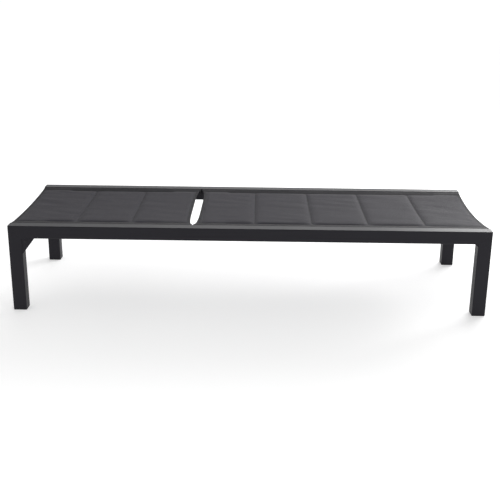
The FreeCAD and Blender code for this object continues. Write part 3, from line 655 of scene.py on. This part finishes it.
    def dip(self, along: float, across: float) -> float:
        """How far seams and hems pull the upper cloth below the pad's crown, which is nothing on a tube."""
        to_hem = min(abs(along - x) for x in self.hem_lines)
        to_seam = min(abs(along - x) for x in self.seams)
        deepest = self.seam_dip if to_seam < to_hem else self.hem_dip
        return deepest * ease((self.tube_edge - self.dip_from - abs(across)) / self.dip_reach)

    def lower(self, along: float, across: float) -> Vector:
        """The place of a point of the lower cloth, under or inside the upper."""
        above = self.upper(along, across)
        if abs(across) > self.flat_from:
            y = math.copysign(min(abs(above.y), self.half - self.wrap_thick), across)
            return Vector((above.x, y, min(above.z, self.top - self.edge_thick)))
        return above - Vector((0, 0, self.thickness(along, across)))

    def held(self, along: float, across: float) -> bool:
        """Whether a seam, a hem or a tube holds the cloth still."""
        edge = abs(across) > self.side_seam - NEAR
        hem = not self.hem_lines[0] + NEAR < along < self.hem_lines[1] - NEAR
        return edge or hem or min(abs(along - s) for s in self.seams) < NEAR

    def on_seam(self, along: float, across: float) -> bool:
        """Whether a row of stitches runs through a point of the flat cut."""
        beside = abs(across) - self.side_seam
        crossing = min(abs(along - x) for x in (*self.seams, *self.hem_lines)) < NEAR and beside < NEAR
        return crossing or abs(beside) < NEAR and self.hem_lines[0] <= along <= self.hem_lines[1]

    def shell(self) -> bpy.types.Object:
        """Makes the closed pad: an upper and a lower cloth that are joined round their edges.

        Returns:
            The pad's object, with the flat cut as its UV map and the held points as a vertex group.
        """
        xs, ys = self.along_lines(), self.across_lines()
        form = bmesh.new()
        cut = form.verts.layers.float_vector.new("flat")
        hem_and_side_shade_layer = form.verts.layers.float.new("hem")
        seam_shade_layer = form.verts.layers.float.new("seam_shade_mask")
        pin = form.verts.layers.deform.verify()
        columns, rows = len(xs) - 1, len(ys) - 1
        bmesh.ops.create_grid(form, x_segments=columns, y_segments=rows, size=1)
        for v in form.verts:
            along = xs[round((v.co.x + 1) / 2 * columns)]
            across = ys[round((v.co.y + 1) / 2 * rows)]
            v[cut] = (along, across, 0)
            ends = not self.hem_lines[0] <= along <= self.hem_lines[1]
            # the hems and the side bands over the tubes get the darker painted-shade value
            v[hem_and_side_shade_layer] = float(ends or abs(across) > self.side_seam)
            # points on a seam line get the painted seam shade
            v[seam_shade_layer] = float(self.on_seam(along, across))
            v[pin][0] = float(self.held(along, across))
        sheet = form.verts[:] + form.edges[:] + form.faces[:]
        copied = bmesh.ops.duplicate(form, geom=sheet)["geom"]
        under = [g for g in copied if isinstance(g, bmesh.types.BMVert)]
        bmesh.ops.reverse_faces(form, faces=[g for g in copied if isinstance(g, bmesh.types.BMFace)])
        for v in set(form.verts) - set(under):
            v.co = self.upper(v[cut].x, v[cut].y)
        for v in under:
            v.co = self.lower(v[cut].x, v[cut].y)
        rim = [e for e in form.edges if e.is_boundary]
        bmesh.ops.bridge_loops(form, edges=rim)
        bmesh.ops.recalc_face_normals(form, faces=form.faces)
        chart = form.loops.layers.uv.new("cut")
        for face in form.faces:
            face.smooth = True
            for corner in face.loops:
                corner[chart].uv = corner.vert[cut].xy
        mesh = bpy.data.meshes.new(self.name)
        form.to_mesh(mesh)
        form.free()
        pad = bpy.data.objects.new(self.name, mesh)
        pad.vertex_groups.new(name="held")
        bpy.context.scene.collection.objects.link(pad)
        return pad

    def blow_up(self, pad: bpy.types.Object) -> None:
        """Lets the wadding push the cloth out between its seams, and applies the result.

        Args:
            pad: the closed pad, whose mesh is changed.
        """
        cloth = pad.modifiers.new("wadding", "CLOTH")
        settings = cloth.settings
        settings.quality = 5
        settings.mass = 0.3
        settings.tension_stiffness = 15
        settings.compression_stiffness = 15
        settings.bending_stiffness = 0.15
        settings.shrink_min = -0.012
        settings.use_pressure = True
        settings.uniform_pressure_force = 4
        settings.vertex_group_mass = "held"
        settings.effector_weights.gravity = 0
        cloth.point_cache.frame_start, cloth.point_cache.frame_end = 1, CLOTH_FRAMES
        for number in range(1, CLOTH_FRAMES + 1):
            bpy.context.scene.frame_set(number)
        view = bpy.context.evaluated_depsgraph_get()
        after = np.array([v.co for v in pad.evaluated_get(view).data.vertices])
        pad.modifiers.remove(cloth)
        bpy.context.scene.frame_set(1)
        before = np.array([v.co for v in pad.data.vertices])
        moved = after - before
        far = np.maximum(np.linalg.norm(moved, axis=1, keepdims=True), 1e-9)
        settled = before + moved / far * self.puff_cap * np.tanh(far / self.puff_cap)
        pad.data.vertices.foreach_set("co", settled.astype(np.float32).ravel())
        pad.data.update()
        LOG.info("%s swells by up to %.1f mm, held to %.1f", self.name, far.max() / MM, self.puff_cap / MM)

    def rows(self) -> list[list[Vector]]:
        """The rows of stitches, each as places above the sling one pitch apart."""
        half = self.side_seam
        rows = []
        for x in (*self.hem_lines, *self.seams):
            steps = round(2 * half / self.pitch)
            rows.append([(x, half * (2 * i / steps - 1)) for i in range(steps + 1)])
        turns = [self.hem_lines[0], *self.seams, self.hem_lines[1]]
        for near, far in zip(turns, turns[1:]):
            steps = round((far - near) / self.pitch)
            for side in (-half, half):
                rows.append([(near + (far - near) * i / steps, side) for i in range(steps + 1)])
        return [[Vector((x + self.shift(x, y), y, 1.0)) for x, y in row] for row in rows]

    def stitch(self, pad: bpy.types.Object, wardrobe: Wardrobe) -> bpy.types.Object:
        """Sews the rows of stitches on the finished pad's upper cloth.

        Args:
            pad: the finished pad.
            wardrobe: what dresses the pieces.

        Returns:
            The stitches, as one piece.
        """
        view = bpy.context.evaluated_depsgraph_get()
        cloth = BVHTree.FromObject(pad, view)
        mesh = bpy.data.meshes.new(f"{self.name}_stitches")
        thread_size = Matrix.Diagonal((0.37 * self.pitch, 0.45 * MM, 0.35 * MM, 1))
        for row in self.rows():
            line = bmesh.new()
            for near, far in zip(row, row[1:]):
                place, out, _, _ = cloth.ray_cast((near + far) / 2, Vector((0, 0, -1)))
                if place is None:
                    continue
                side = out.cross(far - near).normalized()
                turn = Matrix((side.cross(out), side, out)).transposed().to_4x4()
                spot = Matrix.Translation(place + out * 0.1 * MM) @ turn @ thread_size
                bmesh.ops.create_uvsphere(line, u_segments=6, v_segments=4, radius=1, matrix=spot)
            line.from_mesh(mesh)
            line.to_mesh(mesh)
            line.free()
        mesh.shade_smooth()
        thread = bpy.data.objects.new(mesh.name, mesh)
        bpy.context.scene.collection.objects.link(thread)
        wardrobe.dress(thread, SEWING_THREAD)
        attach(thread, self.body)
        LOG.info("%s: %d faces", thread.name, len(mesh.polygons))
        return thread

    def build(self, wardrobe: Wardrobe) -> bpy.types.Object:
        """Makes, inflates, smooths, dresses and stitches the pad, and puts it on its body.

        Args:
            wardrobe: what dresses the pieces.

        Returns:
            The finished pad.
        """
        pad = self.shell()
        self.blow_up(pad)
        rounded = pad.modifiers.new("rounding", "SUBSURF")
        rounded.levels = rounded.render_levels = 1
        wardrobe.dress(pad, Slot.CLOTH.finish)
        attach(pad, self.body)
        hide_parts(self.node)
        LOG.info("%s: %d faces before rounding", self.name, len(pad.data.polygons))
        self.stitch(pad, wardrobe)
        return pad


# ---- the studio ----


@dataclass(frozen=True)
class Studio:
    """A white room: a pale floor, light that glows behind, and a softbox behind on the right.

    Attributes:
        eye, turn, lens_mm, rise: the camera's place, rotation in degrees, lens and vertical shift.
        floor_half: half the floor's side.
        room_light: the strength of the light from all round.
        glow, glow_light, glow_focus: where the glow is, how strong, and how narrow.
        lamp_place, lamp_aim, lamp_wide, lamp_tall, lamp_power: the softbox, in metres and watts.
    """

    eye: tuple[float, float, float] = (0.03334, -3.41117, 1.36877)
    turn: tuple[float, float, float] = (72.5688, -0.5435, 0.7569)
    lens_mm: float = 59.18
    rise: float = -0.06
    floor_half: float = 30.0
    room_light: float = 0.52
    glow: tuple[float, float, float] = (0.12, 0.95, 0.29)
    glow_light: float = 2.2
    glow_focus: float = 9.0
    lamp_place: tuple[float, float, float] = (2.9, 3.0, 1.85)
    lamp_aim: tuple[float, float, float] = (0.2, 0.0, 0.35)
    lamp_wide: float = 3.0
    lamp_tall: float = 1.5
    lamp_power: float = 158.0

    def build(self) -> None:
        """Makes the floor, the light and the camera."""
        self.floor()
        self.light()
        self.camera()
        bpy.context.scene.view_settings.view_transform = "Standard"

    def floor(self) -> None:
        """A floor of seamless white paper, just under the feet."""
        form = bmesh.new()
        bmesh.ops.create_grid(form, x_segments=1, y_segments=1, size=self.floor_half)
        bmesh.ops.translate(form, verts=form.verts, vec=(0, 0, -0.2 * MM))
        mesh = bpy.data.meshes.new("studio_floor")
        form.to_mesh(mesh)
        form.free()
        floor = bpy.data.objects.new("studio_floor", mesh)
        bpy.context.scene.collection.objects.link(floor)
        paper = bpy.data.materials.new("seamless_paper")
        paper.use_nodes = True
        shader = paper.node_tree.nodes["Principled BSDF"]
        shader.inputs["Base Color"].default_value = linear("f4f4f4")
        shader.inputs["Roughness"].default_value = 0.9
        shader.inputs["Specular IOR Level"].default_value = 0.1
        shader.inputs["Emission Color"].default_value = (1, 1, 1, 1)
        shader.inputs["Emission Strength"].default_value = 0.42
        mesh.materials.append(paper)

    def light(self) -> None:
        """White light from all round that glows behind the lounger, and a softbox on the right."""
        world = bpy.data.worlds.new("white_room")
        world.use_nodes = True
        tree = world.node_tree
        back = tree.nodes["Background"]
        back.inputs["Color"].default_value = (1, 1, 1, 1)
        ray = add_node(tree, "ShaderNodeTexCoord").outputs["Generated"]
        toward = {0: ray, 1: self.glow}
        facing = add_node(tree, "ShaderNodeVectorMath", toward, operation="DOT_PRODUCT")
        ahead = math_node(tree, "MAXIMUM", facing.outputs["Value"], 0.0)
        light = math_node(tree, "MULTIPLY", math_node(tree, "POWER", ahead, self.glow_focus), self.glow_light)
        tree.links.new(math_node(tree, "ADD", light, self.room_light), back.inputs["Strength"])
        bpy.context.scene.world = world
        lamp = bpy.data.lights.new("softbox", "AREA")
        lamp.shape = "RECTANGLE"
        lamp.size, lamp.size_y = self.lamp_wide, self.lamp_tall
        lamp.energy = self.lamp_power
        holder = bpy.data.objects.new("softbox", lamp)
        holder.location = self.lamp_place
        aim = Vector(self.lamp_aim) - Vector(self.lamp_place)
        holder.rotation_euler = aim.to_track_quat("-Z", "Y").to_euler()
        bpy.context.scene.collection.objects.link(holder)

    def camera(self) -> None:
        """The camera, a little above and in front of the lounger's right side."""
        data = bpy.data.cameras.new("camera")
        data.lens = self.lens_mm
        data.sensor_width = 36
        data.shift_y = self.rise
        data.clip_end = 100
        holder = bpy.data.objects.new("camera", data)
        holder.location = self.eye
        holder.rotation_euler = Euler([math.radians(a) for a in self.turn])
        bpy.context.scene.collection.objects.link(holder)
        bpy.context.scene.camera = holder


def main() -> None:
    """Builds and dresses the lounger, then the studio round it."""
    logging.basicConfig(level=logging.INFO, format="%(message)s")
    wardrobe = Wardrobe()
    wardrobe.dress_frame()
    slings = (
        PaddedSling(
            name="back_sling_pad",
            node="back_sling",
            body="backrest",
            seams=(-0.707, -0.483),
            slot_side=1,
            sag=5 * MM,
            hem_sag=5 * MM,
            hem_bow=2 * MM,
        ),
        PaddedSling(
            name="seat_sling_pad",
            node="seat_sling",
            body="frame",
            seams=(0.019, 0.252, 0.481, 0.714),
            slot_side=-1,
            sag=2.5 * MM,
            hem_sag=13 * MM,
            hem_bow=5 * MM,
        ),
    )
    for sling in slings:
        sling.build(wardrobe)
    Studio().build()


if __name__ == "__main__":
    main()
